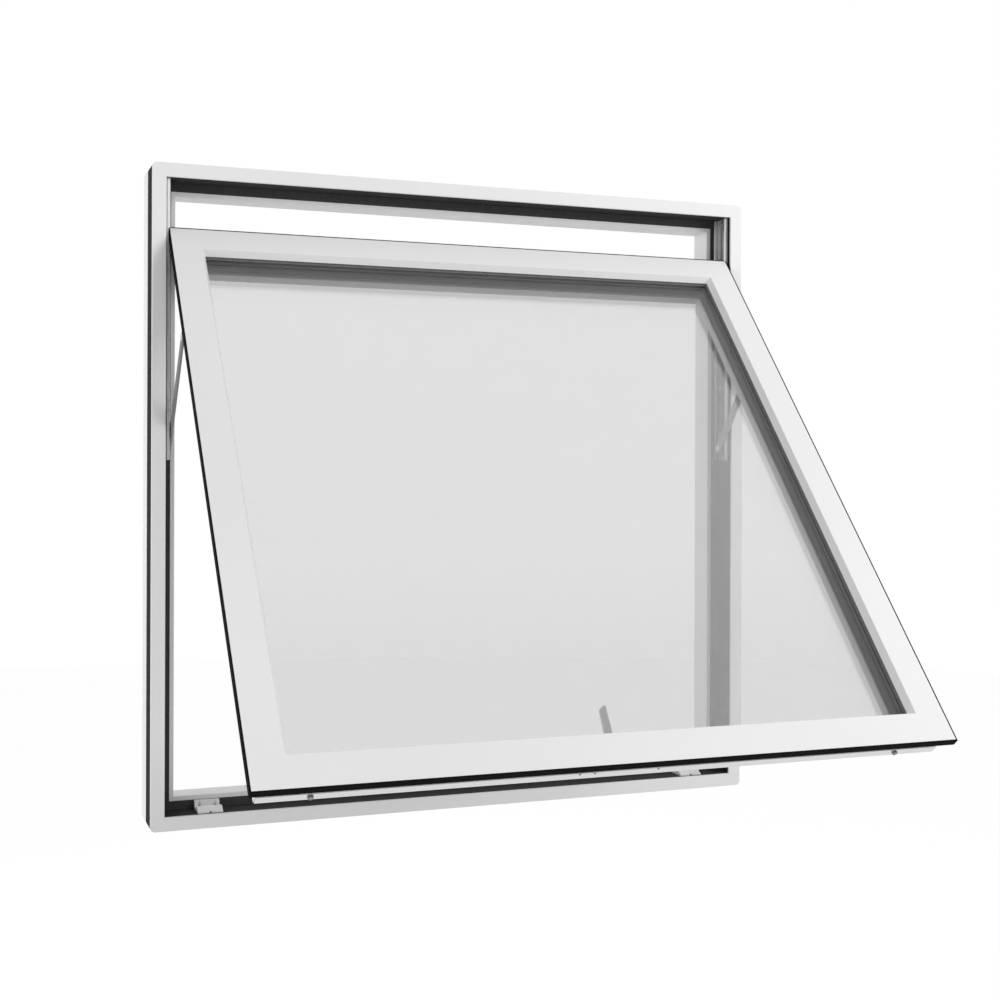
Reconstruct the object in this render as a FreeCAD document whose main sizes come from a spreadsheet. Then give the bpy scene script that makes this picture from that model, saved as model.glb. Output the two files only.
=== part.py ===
import FreeCAD, Part
import os
import re
from enum import IntEnum
import Sketcher

Vector = FreeCAD.Vector

# A top hung awning window, standing open on its two friction stays.
# X runs along the sill, Y runs from the outside to the room and Z runs up.
# The origin is the middle of the underside of the frame.
# In the names below, an inset is measured from an outer edge towards the opening,
# and a depth is measured from an outside face towards the room.

# Driving sizes in millimetres, and the opening angle in degrees.
SIZES = {
    "frame_width": 1000,
    "frame_height": 1000,
    "frame_corner_radius": 8,
    "opening_angle": 41,
    # frame section
    "lip_width": 21.2,
    "lip_thickness": 3.5,
    "lip_edge_radius": 1.2,
    "clip_width": 5,
    "clip_depth": 6,
    "clip_clearance": 0.2,
    "core_depth": 45,
    "core_wall": 3,
    "tube_width": 41.5,
    "tube_depth": 46,
    "tube_wall": 2,
    "tube_edge_radius": 1.5,
    "frame_seal_width": 13.4,
    "frame_seal_rise": 1.5,
    # sash section
    "gap_side": 6,
    "gap_top": 2.5,
    "gap_bottom": 2.5,
    "sash_proud": 5,
    "sash_face_width": 43.5,
    "sash_face_thickness": 2.5,
    "sash_edge_radius": 0.8,
    "sash_wall": 2,
    "bevel_width": 5.5,
    "bevel_depth": 10.5,
    "stay_groove_depth": 10,
    "sash_outer_depth": 44,
    "sash_break_depth": 4,
    "sash_break_setback": 2,
    "sash_inner_setback": 10,
    "sash_inner_flat": 8,
    "sash_inner_edge": 3,
    "edge_seal_depth": 8.5,
    "edge_seal_lip": 1.8,
    "edge_seal_front": 0.2,
    # glazing
    "rebate_cover": 15,
    "glass_clearance": 3,
    "pane_thickness": 6,
    "glass_cavity": 20,
    "gasket_width": 6,
    "outer_gasket_depth": 5.5,
    "inner_gasket_depth": 5,
    "bead_depth": 13,
    "bead_wall": 1.5,
    "bead_edge_radius": 1.5,
    # friction stays
    "arm_length": 199,
    "bar_reach": 192,
    "arm_width": 16,
    "arm_thickness": 3,
    "pivot_drop": 9,
    "pivot_radius": 7,
    "track_front": 9.75,
    "track_width": 37,
    "track_base": 1.5,
    "track_flange_height": 4,
    "track_flange_thickness": 1.8,
    "track_tail": 21,
    "track_slot_width": 3,
    "track_slot_end": 14,
    "shoe_length": 38,
    "shoe_width": 20,
    "shoe_height": 5.5,
    "sash_bar_width": 20,
    "sash_bar_thickness": 3,
    "sash_bar_tail": 50,
    "arm_lift": 7.8,
    # fastening
    "keeper_corner_distance": 91,
    "keeper_width": 38,
    "keeper_setback": 7.5,
    "keeper_base": 3,
    "keeper_toe": 3.5,
    "keeper_ramp": 6,
    "keeper_front_height": 8,
    "keeper_front_land": 8.5,
    "keeper_channel": 12,
    "keeper_back_slope": 5,
    "keeper_back_land": 4,
    "keeper_back_height": 13.5,
    "keeper_notch_radius": 1.8,
    "keeper_hole_radius": 2.2,
    "keeper_hole_spacing": 24,
    "keeper_edge_radius": 0.8,
    "lock_rail_end": 64,
    "lock_rail_width": 12,
    "lock_rail_thickness": 2.5,
    "cam_throw": 11,
    "cam_radius": 3.2,
    "cam_length": 2.5,
    "handle_offset": 15.7,
    "handle_base_width": 18,
    "handle_base_length": 58,
    "handle_base_thickness": 8,
    "handle_base_corner": 8.5,
    "handle_base_edge": 2,
    "handle_neck_radius": 5.5,
    "handle_neck_length": 12,
    "lever_angle": 4.4,
    "lever_width": 12,
    "lever_tip_width": 9,
    "lever_tip_slant": 8,
    "lever_tip_radius": 2,
    "lever_thickness": 9,
    "lever_reach": 94.6,
    "lever_edge_radius": 2.5,
}

# Sizes that follow from the driving ones.
WORKED = {
    "core_front": "lip_thickness",
    "tube_front": "lip_thickness + core_depth",
    "frame_depth": "tube_front + tube_depth",
    "clip_start": "(lip_width - clip_width) / 2",
    "clip_end": "(lip_width + clip_width) / 2",
    "sash_width": "frame_width - 2 * lip_width - 2 * gap_side",
    "sash_height": "frame_height - 2 * lip_width - gap_top - gap_bottom",
    "sightline": "sash_face_width + bevel_width",
    "rebate_floor": "sightline - rebate_cover",
    "glass_edge": "rebate_floor + glass_clearance",
    "outer_pane_front": "bevel_depth + outer_gasket_depth",
    "spacer_front": "outer_pane_front + pane_thickness",
    "inner_pane_front": "spacer_front + glass_cavity",
    "inner_gasket_front": "inner_pane_front + pane_thickness",
    "bead_front": "inner_gasket_front + inner_gasket_depth",
    "sash_depth": "bead_front + bead_depth",
    "sash_inner_front": "sash_outer_depth + sash_break_depth",
    "sash_inner_inset": "stay_groove_depth + sash_inner_setback",
    "pivot_depth": "track_front + track_width / 2",
    "pivot_in_sash": "pivot_depth + sash_proud",
    "pivot_above_sill": "sash_height - pivot_drop",
    "closed_pivot_height": "frame_height - lip_width - gap_top - pivot_drop",
    "frame_pivot_height": "closed_pivot_height - arm_length - bar_reach",
    "arm_angle": "asin(bar_reach * sin(opening_angle) / arm_length)",
    "open_pivot_height": "frame_pivot_height + bar_reach * cos(opening_angle) + arm_length * cos(arm_angle)",
    "groove_inset": "lip_width + gap_side + stay_groove_depth",
    "track_floor": "lip_width + track_base",
    "sash_bar_inset": "groove_inset - sash_bar_thickness",
    "arm_inset": "lip_width + arm_lift",
    "keeper_place": "frame_width / 2 - keeper_corner_distance",
    "keeper_channel_front": "keeper_toe + keeper_ramp + keeper_front_land",
    "keeper_channel_middle": "keeper_channel_front + keeper_channel / 2",
    "keeper_back_foot": "keeper_channel_front + keeper_channel",
    "keeper_back_rim": "keeper_back_foot + keeper_back_slope",
    "keeper_depth": "keeper_back_rim + keeper_back_land",
    "cam_place": "keeper_place - cam_throw",
    "cam_depth": "keeper_setback + keeper_channel_middle + sash_proud",
}

FRAME_SIDES = ("sill", "right_jamb", "head", "left_jamb")
SASH_SIDES = ("bottom_rail", "right_stile", "top_rail", "left_stile")


class AxisOf(IntEnum):
    """The sketch's own axes. Its origin is the start of the horizontal one."""
    HORIZONTAL = -1
    VERTICAL = -2


class PointOf(IntEnum):
    """Which point of a line or arc a constraint holds."""
    START = 1
    END = 2
    CENTRE = 3


START, END, CENTRE = PointOf
HALF_TURN = 3.141592653589793

doc = FreeCAD.newDocument("awning_window")


def fill_sheet(name, cells, prefix=""):
    """Write one row of a spreadsheet for each name, with the name as the alias."""
    sheet = doc.addObject("Spreadsheet::Sheet", name)
    for row, (alias, content) in enumerate(cells.items(), start=1):
        sheet.set(f"A{row}", alias)
        sheet.set(f"B{row}", prefix + str(content))
        sheet.setAlias(f"B{row}", alias)
    return sheet


def bound(expression):
    """Put the sheet's name before each size in an expression."""
    def qualify(match):
        word = match.group(0)
        if word in SIZES:
            return "sizes." + word
        if word in WORKED:
            return "worked." + word
        return word
    return re.sub(r"[a-z][a-z_]*", qualify, expression)


sizes = fill_sheet("sizes", SIZES)
worked = fill_sheet("worked", {name: bound(formula) for name, formula in WORKED.items()}, "=")
doc.recompute()


def number(expression):
    """Work out an expression from the sheets."""
    return float(sizes.evalExpression(bound(expression)))


# Sketch tools

def sketch_on(body, role, offset="0"):
    """Start a sketch on one of the body's own origin planes, moved along its normal."""
    sketch = body.newObject("Sketcher::SketchObject", body.Name + "_sketch")
    plane = next(item for item in body.Origin.OriginFeatures if item.Role == role)
    sketch.AttachmentSupport = (plane, [""])
    sketch.MapMode = "FlatFace"
    if offset != "0":
        sketch.setExpression("AttachmentOffset.Base.z", bound(offset))
    return sketch


def bind_constraint(sketch, constraint, expression):
    index = sketch.addConstraint(constraint)
    sketch.setExpression(f"Constraints[{index}]", bound(expression))


def fix_point(sketch, geometry, end, x, y):
    """Hold a point of the sketch at two expressions, measured from the sketch's origin."""
    for kind, axis, expression in (("DistanceX", AxisOf.VERTICAL, x), ("DistanceY", AxisOf.HORIZONTAL, y)):
        value = number(expression)
        if abs(value) < 1e-9:
            sketch.addConstraint(Sketcher.Constraint("PointOnObject", geometry, end, axis))
        elif value > 0:
            held = Sketcher.Constraint(kind, AxisOf.HORIZONTAL, START, geometry, end, value)
            bind_constraint(sketch, held, expression)
        else:
            held = Sketcher.Constraint(kind, geometry, end, AxisOf.HORIZONTAL, START, -value)
            bind_constraint(sketch, held, f"-({expression})")


def polygon(sketch, corners):
    """Draw a closed outline with each corner held at a pair of expressions."""
    first = sketch.GeometryCount
    count = len(corners)
    points = [Vector(number(x), number(y), 0) for x, y in corners]
    for index in range(count):
        sketch.addGeometry(Part.LineSegment(points[index], points[(index + 1) % count]), False)
    for index in range(count):
        following = first + (index + 1) % count
        sketch.addConstraint(Sketcher.Constraint("Coincident", first + index, END, following, START))
    for index, (x, y) in enumerate(corners):
        fix_point(sketch, first + index, START, x, y)


def rectangle(sketch, left, bottom, right, top):
    polygon(sketch, [(left, bottom), (right, bottom), (right, top), (left, top)])


def circle(sketch, x, y, radius):
    index = sketch.GeometryCount
    centre = Vector(number(x), number(y), 0)
    sketch.addGeometry(Part.Circle(centre, Vector(0, 0, 1), number(radius)), False)
    fix_point(sketch, index, CENTRE, x, y)
    bind_constraint(sketch, Sketcher.Constraint("Radius", index, number(radius)), radius)


def tapered_slot(sketch, length, low_radius, high_radius):
    """Draw a bar that stands on the sketch's vertical axis with a round end at each centre."""
    low, high = number(low_radius), number(high_radius)
    top = number(length)
    normal = Vector(0, 0, 1)
    low_arc = sketch.addGeometry(
        Part.ArcOfCircle(Part.Circle(Vector(0, 0, 0), normal, low), HALF_TURN, 2 * HALF_TURN), False)
    high_arc = sketch.addGeometry(
        Part.ArcOfCircle(Part.Circle(Vector(0, top, 0), normal, high), 0, HALF_TURN), False)
    right = sketch.addGeometry(Part.LineSegment(Vector(low, 0, 0), Vector(high, top, 0)), False)
    left = sketch.addGeometry(Part.LineSegment(Vector(-high, top, 0), Vector(-low, 0, 0)), False)
    joints = ((low_arc, END, right, START), (right, END, high_arc, START),
              (high_arc, END, left, START), (left, END, low_arc, START))
    for first, first_end, second, second_end in joints:
        sketch.addConstraint(Sketcher.Constraint("Tangent", first, first_end, second, second_end))
    fix_point(sketch, low_arc, CENTRE, "0", "0")
    fix_point(sketch, high_arc, CENTRE, "0", length)
    bind_constraint(sketch, Sketcher.Constraint("Radius", low_arc, low), low_radius)
    bind_constraint(sketch, Sketcher.Constraint("Radius", high_arc, high), high_radius)


def slanted_lever(sketch):
    """Draw the lever's grip: a round foot on the pivot, a taper and a tip cut on the slant."""
    radius = number("lever_width / 2")
    left_tip = ("-lever_tip_width / 2", "lever_reach - lever_tip_slant")
    right_tip = ("lever_tip_width / 2", "lever_reach")
    left_point, right_point = [Vector(number(x), number(y), 0) for x, y in (left_tip, right_tip)]
    foot = sketch.addGeometry(
        Part.ArcOfCircle(Part.Circle(Vector(0, 0, 0), Vector(0, 0, 1), radius), HALF_TURN, 2 * HALF_TURN),
        False)
    right = sketch.addGeometry(Part.LineSegment(Vector(radius, 0, 0), right_point), False)
    top = sketch.addGeometry(Part.LineSegment(right_point, left_point), False)
    left = sketch.addGeometry(Part.LineSegment(left_point, Vector(-radius, 0, 0)), False)
    for kind, first, second in (("Tangent", foot, right), ("Coincident", right, top),
                                ("Coincident", top, left), ("Tangent", left, foot)):
        sketch.addConstraint(Sketcher.Constraint(kind, first, END, second, START))
    fix_point(sketch, foot, CENTRE, "0", "0")
    bind_constraint(sketch, Sketcher.Constraint("Radius", foot, radius), "lever_width / 2")
    fix_point(sketch, top, START, *right_tip)
    fix_point(sketch, top, END, *left_tip)


# Feature tools

def new_body(label, placement):
    body = doc.addObject("PartDesign::Body", label)
    body.Label = label
    body.setExpression("Placement", bound(placement))
    return body


def add_pad(body, sketch, length, backwards=False):
    pad = body.newObject("PartDesign::Pad", body.Name + "_pad")
    pad.Profile = sketch
    pad.setExpression("Length", bound(length))
    pad.Reversed = backwards
    return pad


def cut_through(body, sketch):
    """Cut a sketch's outline out of the whole body, both ways from its plane."""
    pocket = body.newObject("PartDesign::Pocket", body.Name + "_cut")
    pocket.Profile = sketch
    pocket.Type = "ThroughAll"
    pocket.SideType = "Symmetric"
    return pocket


def round_edges(body, feature, radius, chosen):
    """Round the edges of a feature for which chosen(edge) is true."""
    doc.recompute()
    names = [f"Edge{index}" for index, edge in enumerate(feature.Shape.Edges, start=1) if chosen(edge)]
    fillet = body.newObject("PartDesign::Fillet", body.Name + "_round")
    fillet.Base = (feature, names)
    fillet.setExpression("Radius", bound(radius))
    return fillet


def runs_along_x_at(depth, inset):
    """Tell an edge that runs the whole length of a bar at one depth and inset."""
    place = Vector(0, number(depth), number(inset))

    def chosen(edge):
        first, last = edge.Vertexes[0].Point, edge.Vertexes[-1].Point
        return all(abs(point.y - place.y) < 0.01 and abs(point.z - place.z) < 0.01 for point in (first, last))
    return chosen


def at(pose, x="0", y="0", z="0"):
    """Give the placement of a piece that keeps its pose's directions."""
    return f"{pose}.Placement * placement(vector({x}; {y}; {z}); rotation(vector(0; 1; 0); 0))"


def add_pose(name, placement):
    pose = doc.addObject("App::Placement", name)
    pose.setExpression("Placement", bound(placement))
    return pose


def add_side_poses(pose, sides, width, height):
    """Stand a local frame at each corner: x along the bar, y into the room, z into the opening."""
    corners = ((f"-{width} / 2", "0", 0), (f"{width} / 2", "0", -90),
               (f"{width} / 2", height, 180), (f"-{width} / 2", height, 90))
    for side, (x, z, turn) in zip(sides, corners):
        turned = f"placement(vector({x}; 0; {z}); rotation(vector(0; 1; 0); {turn}))"
        add_pose(f"{pose}_{side}", f"{pose}.Placement * {turned}")


def mitre(body, length, reach, corner_radius="0"):
    """Cut both ends of a bar at 45 degrees, with the outer corner rounded off."""
    sketch = sketch_on(body, "XZ_Plane")
    for far in (False, True):
        def along(x):
            return f"{length} - ({x})" if far else x
        if corner_radius == "0":
            polygon(sketch, [(along("0"), "0"), (along(reach), reach), (along("0"), reach)])
        else:
            rounded_mitre(sketch, along, reach, corner_radius, far)
    cut_through(body, sketch)


def rounded_mitre(sketch, along, reach, radius, far):
    """Draw the piece that a rounded mitre takes off: down the end, round the corner, up the mitre."""
    touch = f"{radius} * (1 - cos(45))"
    corners = [(along("0"), "0"), (along(radius), "0"), (along(touch), touch), (along(reach), reach),
               (along("0"), reach)]
    points = [Vector(number(x), number(y), 0) for x, y in corners]
    first = sketch.GeometryCount
    size = number(radius)
    centre = Vector(number(along(radius)), size, 0)
    eighth_turn = HALF_TURN / 4
    start, stop = (6, 7) if far else (5, 6)
    rim = Part.Circle(centre, Vector(0, 0, 1), size)
    arc = Part.ArcOfCircle(rim, start * eighth_turn, stop * eighth_turn)
    low_end, high_end = (START, END) if far else (END, START)
    sketch.addGeometry(Part.LineSegment(points[0], points[1]), False)
    sketch.addGeometry(arc, False)
    for here, there in ((2, 3), (3, 4), (4, 0)):
        sketch.addGeometry(Part.LineSegment(points[here], points[there]), False)
    joints = ((0, END, 1, low_end), (1, high_end, 2, START), (2, END, 3, START),
              (3, END, 4, START), (4, END, 0, START))
    for one, one_end, other, other_end in joints:
        sketch.addConstraint(
            Sketcher.Constraint("Coincident", first + one, one_end, first + other, other_end))
    fix_point(sketch, first, START, *corners[0])
    fix_point(sketch, first, END, *corners[1])
    fix_point(sketch, first + 2, START, *corners[2])
    fix_point(sketch, first + 3, START, *corners[3])
    fix_point(sketch, first + 4, START, *corners[4])
    bind_constraint(sketch, Sketcher.Constraint("Radius", first + 1, size), radius)


def mitred_bar(label, pose, length, reach, section, chambers=(), rounded=(), edge_radius="0",
               corner_radius="0"):
    """Make one bar of a frame: a hollow section run along it, then both ends mitred.

    Sections are lists of depth and inset pairs.
    """
    body = new_body(label, f"{pose}.Placement")
    sketch = sketch_on(body, "YZ_Plane")
    polygon(sketch, section)
    for chamber in chambers:
        polygon(sketch, chamber)
    pad = add_pad(body, sketch, length)
    if rounded:
        tests = []
        for depth, inset in rounded:
            tests.append(runs_along_x_at(depth, inset))
        round_edges(body, pad, edge_radius, lambda edge: any(test(edge) for test in tests))
    mitre(body, length, reach, corner_radius)


def ring_pad(body, width, height, outer, inner, depth, forwards=False):
    """Pad the band between two insets from a frame's edges."""
    sketch = sketch_on(body, "XZ_Plane")
    for inset in (outer, inner):
        side = f"{width} / 2 - ({inset})"
        rectangle(sketch, f"-({side})", inset, side, f"{height} - ({inset})")
    add_pad(body, sketch, depth, backwards=not forwards)


def ring(label, pose, width, height, outer, inner, front, depth):
    """Make a flat ring that follows a frame's edges between two insets."""
    body = new_body(label, at(pose, y=front))
    ring_pad(body, width, height, outer, inner, depth)
    return body


def box(label, pose, x, y, z, length, width, height):
    piece = doc.addObject("Part::Box", label)
    piece.Label = label
    piece.setExpression("Length", bound(length))
    piece.setExpression("Width", bound(width))
    piece.setExpression("Height", bound(height))
    piece.setExpression("Placement", bound(at(pose, x, y, z)))


def box_section(front, outer, back, inner):
    return [(front, outer), (back, outer), (back, inner), (front, inner)]


# Frame

def side_length(sides, side, width, height):
    return width if side in (sides[0], sides[2]) else height


def frame_faces():
    """The outside face: a thin cap with a rib that clips into the core."""
    back = "lip_thickness"
    rib = "lip_thickness + clip_depth"
    section = [("0", "0"), (back, "0"), (back, "clip_start"), (rib, "clip_start"), (rib, "clip_end"),
               (back, "clip_end"), (back, "lip_width"), ("0", "lip_width")]
    for side in FRAME_SIDES:
        length = side_length(FRAME_SIDES, side, "frame_width", "frame_height")
        mitred_bar(f"frame_{side}_face", f"frame_pose_{side}", length, "lip_width", section,
                   rounded=[("0", "0"), ("0", "lip_width")], edge_radius="lip_edge_radius",
                   corner_radius="frame_corner_radius")


def frame_cores():
    """The black insulating core between the outside face and the room-side tube."""
    groove = "core_front + clip_depth + clip_clearance"
    low = "clip_start - clip_clearance"
    high = "clip_end + clip_clearance"
    section = [("core_front", "0"), ("tube_front", "0"), ("tube_front", "lip_width"),
               ("core_front", "lip_width"), ("core_front", high), (groove, high), (groove, low),
               ("core_front", low)]
    chamber = box_section(f"{groove} + core_wall", "core_wall", "tube_front - core_wall",
                          "lip_width - core_wall")
    for side in FRAME_SIDES:
        length = side_length(FRAME_SIDES, side, "frame_width", "frame_height")
        mitred_bar(f"frame_{side}_core", f"frame_pose_{side}", length, "lip_width", section, [chamber],
                   corner_radius="frame_corner_radius")


def frame_tubes():
    """The room-side aluminium tube that the sash closes against."""
    section = box_section("tube_front", "0", "frame_depth", "tube_width")
    chamber = box_section("tube_front + tube_wall", "tube_wall", "frame_depth - tube_wall",
                          "tube_width - tube_wall")
    rounded = [("tube_front", "tube_width"), ("frame_depth", "tube_width"), ("frame_depth", "0")]
    for side in FRAME_SIDES:
        length = side_length(FRAME_SIDES, side, "frame_width", "frame_height")
        mitred_bar(f"frame_{side}_tube", f"frame_pose_{side}", length, "tube_width", section, [chamber],
                   rounded, "tube_edge_radius", "frame_corner_radius")


def frame_seal():
    """The black seal on the front of the tube, inside the rebate."""
    ring("frame_seal", "frame_pose", "frame_width", "frame_height", "lip_width",
         "lip_width + frame_seal_width", "tube_front - frame_seal_rise", "frame_seal_rise")


# Sash

def sash_outers():
    """The outside half of the sash: a face with a bevelled sightline and a hollow body behind it."""
    face = "sash_face_thickness"
    groove = "stay_groove_depth"
    back = "sash_outer_depth"
    section = [("0", "0"), ("0", "sash_face_width"), ("bevel_depth", "sightline"),
               ("bevel_depth", "rebate_floor"), (back, "rebate_floor"), (back, groove), (face, groove),
               (face, "0")]
    body_chamber = box_section(face, f"{groove} + sash_wall", f"{back} - sash_wall",
                               "rebate_floor - sash_wall")
    lip_back = "bevel_depth - sash_wall"
    lip_chamber = [(face, "rebate_floor"), (lip_back, "rebate_floor"),
                   (lip_back, "sash_face_width"), (face, "sash_face_width - sash_wall")]
    for side in SASH_SIDES:
        length = side_length(SASH_SIDES, side, "sash_width", "sash_height")
        mitred_bar(f"sash_{side}_outer", f"sash_pose_{side}", length, "sightline", section,
                   [body_chamber, lip_chamber], [("0", "0"), ("0", "sash_face_width")],
                   "sash_edge_radius")


def sash_inners():
    """The room-side half of the sash, chamfered where it passes the frame."""
    front = "sash_inner_front"
    flat = "sash_inner_front + sash_inner_flat"
    section = [(front, "sash_inner_inset"), (front, "rebate_floor"), ("sash_depth", "rebate_floor"),
               ("sash_depth", "rebate_floor - sash_inner_edge"), (flat, "sash_inner_inset")]
    chamber = box_section(f"{front} + sash_wall", "sash_inner_inset + sash_wall", f"{flat} - sash_wall",
                          "rebate_floor - sash_wall")
    for side in SASH_SIDES:
        length = side_length(SASH_SIDES, side, "sash_width", "sash_height")
        mitred_bar(f"sash_{side}_inner", f"sash_pose_{side}", length, "rebate_floor", section, [chamber])


def glazing_beads():
    """The beads that hold the glass in from the room."""
    section = box_section("bead_front", "rebate_floor", "sash_depth", "sightline")
    chamber = box_section("bead_front + bead_wall", "rebate_floor + bead_wall", "sash_depth - bead_wall",
                          "sightline - bead_wall")
    for side in SASH_SIDES:
        length = side_length(SASH_SIDES, side, "sash_width", "sash_height")
        mitred_bar(f"glazing_bead_{side}", f"sash_pose_{side}", length, "sightline", section, [chamber],
                   [("sash_depth", "sightline")], "bead_edge_radius")


def sash_rings():
    """The seals, gaskets and insulating strip that run round the sash, and the glass spacer."""
    def sash_ring(label, outer, inner, front, depth):
        return ring(label, "sash_pose", "sash_width", "sash_height", outer, inner, front, depth)
    seal = sash_ring("sash_edge_seal", "-edge_seal_lip", "stay_groove_depth", "sash_face_thickness",
                     "edge_seal_depth")
    # The seal's lip reaches forward round the edge of the face.
    ring_pad(seal, "sash_width", "sash_height", "-edge_seal_lip", "0",
             "sash_face_thickness - edge_seal_front", forwards=True)
    sash_ring("sash_break", "stay_groove_depth + sash_break_setback", "rebate_floor - sash_break_setback",
              "sash_outer_depth", "sash_break_depth")
    sash_ring("glazing_gasket_outer", "sightline - gasket_width", "sightline", "bevel_depth",
              "outer_gasket_depth")
    sash_ring("glazing_gasket_inner", "sightline - gasket_width", "sightline", "inner_gasket_front",
              "inner_gasket_depth")
    sash_ring("glass_spacer", "glass_edge", "sightline", "spacer_front", "glass_cavity")


def glass_panes():
    """The two panes of the sealed glass unit."""
    width = "sash_width - 2 * glass_edge"
    height = "sash_height - 2 * glass_edge"
    for label, front in (("glass_outer_pane", "outer_pane_front"), ("glass_inner_pane", "inner_pane_front")):
        box(label, "sash_pose", f"-({width}) / 2", front, "glass_edge", width, "pane_thickness", height)


# Friction stays

def add_plate(body, right, start, end, draw):
    """Pad an outline between two insets from the jamb's outer edge, seen along X."""
    sketch = sketch_on(body, "YZ_Plane", f"-({start})" if right else start)
    draw(sketch)
    return add_pad(body, sketch, f"{end} - ({start})", backwards=right)


def stay_pose(pose, right, width, y, z, turn="0"):
    x = f"{width} / 2" if right else f"-{width} / 2"
    return f"{pose}.Placement * placement(vector({x}; {y}; {z}); rotation(vector(1; 0; 0); {turn}))"


def stay_track(label, right):
    """The channel on the jamb that the shoe slides in."""
    foot = "frame_pivot_height - track_tail"
    body = new_body(label, stay_pose("frame_pose", right, "frame_width", "track_front", foot))
    top = f"frame_height - lip_width - ({foot})"
    add_plate(body, right, "lip_width", "track_floor",
              lambda sketch: rectangle(sketch, "0", "0", "track_width", top))
    rim = "track_floor + track_flange_height - track_base"
    add_plate(body, right, "track_floor", rim,
              lambda sketch: rectangle(sketch, "0", "0", "track_flange_thickness", top))
    inner_side = "track_width - track_flange_thickness"
    add_plate(body, right, "track_floor", rim,
              lambda sketch: rectangle(sketch, inner_side, "0", "track_width", top))
    slot = sketch_on(body, "YZ_Plane")
    slot_start = "track_tail + arm_width / 2 + track_slot_end"
    rectangle(slot, "(track_width - track_slot_width) / 2", slot_start,
              "(track_width + track_slot_width) / 2", f"{top} - track_slot_end")
    cut_through(body, slot)


def stay_shoe(label, right):
    """The friction block in the track, with the pivot that carries the top of the sash."""
    body = new_body(label, stay_pose("frame_pose", right, "frame_width", "pivot_depth", "open_pivot_height"))
    half_width = "shoe_width / 2"
    add_plate(body, right, "track_floor", "track_floor + shoe_height",
              lambda sketch: rectangle(sketch, f"-{half_width}", "pivot_drop - shoe_length", half_width,
                                       "pivot_drop"))
    add_plate(body, right, "track_floor + shoe_height", "sash_bar_inset",
              lambda sketch: circle(sketch, "0", "0", "pivot_radius"))


def stay_arm(label, right):
    """The arm from the fixed pivot on the track to the lower pivot of the sash bar."""
    body = new_body(label, stay_pose("frame_pose", right, "frame_width", "pivot_depth",
                                     "frame_pivot_height", "arm_angle"))
    arm_end = "arm_inset + arm_thickness"
    add_plate(body, right, "arm_inset", arm_end,
              lambda sketch: tapered_slot(sketch, "arm_length", "arm_width / 2", "arm_width / 2"))
    add_plate(body, right, "track_floor", "arm_inset",
              lambda sketch: circle(sketch, "0", "0", "pivot_radius"))
    add_plate(body, right, arm_end, "sash_bar_inset",
              lambda sketch: circle(sketch, "0", "arm_length", "pivot_radius"))


def stay_sash_bar(label, right):
    """The bar on the side of the sash that both pivots carry."""
    foot = "pivot_above_sill - bar_reach - sash_bar_tail"
    body = new_body(label, stay_pose("sash_pose", right, "(sash_width + 2 * gap_side + 2 * lip_width)",
                                     "pivot_in_sash", foot))
    length = "bar_reach + sash_bar_tail"
    add_plate(body, right, "sash_bar_inset", "groove_inset",
              lambda sketch: tapered_slot(sketch, length, "sash_bar_width / 2", "sash_bar_width / 2"))


def stays():
    for side, right in (("left", False), ("right", True)):
        stay_track(f"stay_{side}_track", right)
        stay_shoe(f"stay_{side}_shoe", right)
        stay_arm(f"stay_{side}_arm", right)
        stay_sash_bar(f"stay_{side}_sash_bar", right)


# Fastening

def keepers():
    """The two keepers on the sill that the cams of the lock rail slide behind, notched in front."""
    channel = "keeper_channel_front"
    outline = [("0", "0"), ("0", "keeper_base"), ("keeper_toe", "keeper_base"),
               ("keeper_toe + keeper_ramp", "keeper_front_height"), (channel, "keeper_front_height"),
               (channel, "keeper_base"), ("keeper_back_foot", "keeper_base"),
               ("keeper_back_rim", "keeper_back_height"), ("keeper_depth", "keeper_back_height"),
               ("keeper_depth", "0")]
    for side, centre in (("left", "-keeper_place"), ("right", "keeper_place")):
        start = f"{centre} - keeper_width / 2"
        body = new_body(f"keeper_{side}", at("frame_pose", start, "keeper_setback", "lip_width"))
        sketch = sketch_on(body, "YZ_Plane")
        polygon(sketch, outline)
        pad = add_pad(body, sketch, "keeper_width")
        tops = [runs_along_x_at("keeper_toe + keeper_ramp", "keeper_front_height"),
                runs_along_x_at("keeper_depth", "keeper_back_height")]
        round_edges(body, pad, "keeper_edge_radius", lambda edge: any(test(edge) for test in tops))
        holes = sketch_on(body, "XY_Plane")
        for shift in ("-", "+"):
            circle(holes, f"keeper_width / 2 {shift} keeper_hole_spacing / 2",
                   "keeper_back_foot + keeper_back_slope / 2", "keeper_hole_radius")
        circle(holes, "keeper_width / 2", "0", "keeper_notch_radius")
        cut_through(body, holes)


def lock_rail():
    """The sliding rail under the sash, with a cam at each end that the handle moves."""
    top = "stay_groove_depth"
    body = new_body("lock_rail", at("sash_pose", "0", "cam_depth", top))
    half_length = "(cam_place + lock_rail_end)"
    half_width = "lock_rail_width / 2"
    rail = sketch_on(body, "XY_Plane")
    rectangle(rail, f"-{half_length}", f"-{half_width}", half_length, half_width)
    add_pad(body, rail, "lock_rail_thickness", backwards=True)
    cams = sketch_on(body, "XY_Plane", "-lock_rail_thickness")
    for sign in ("-", ""):
        circle(cams, f"{sign}cam_place", "0", "cam_radius")
    add_pad(body, cams, "cam_length", backwards=True)


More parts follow.
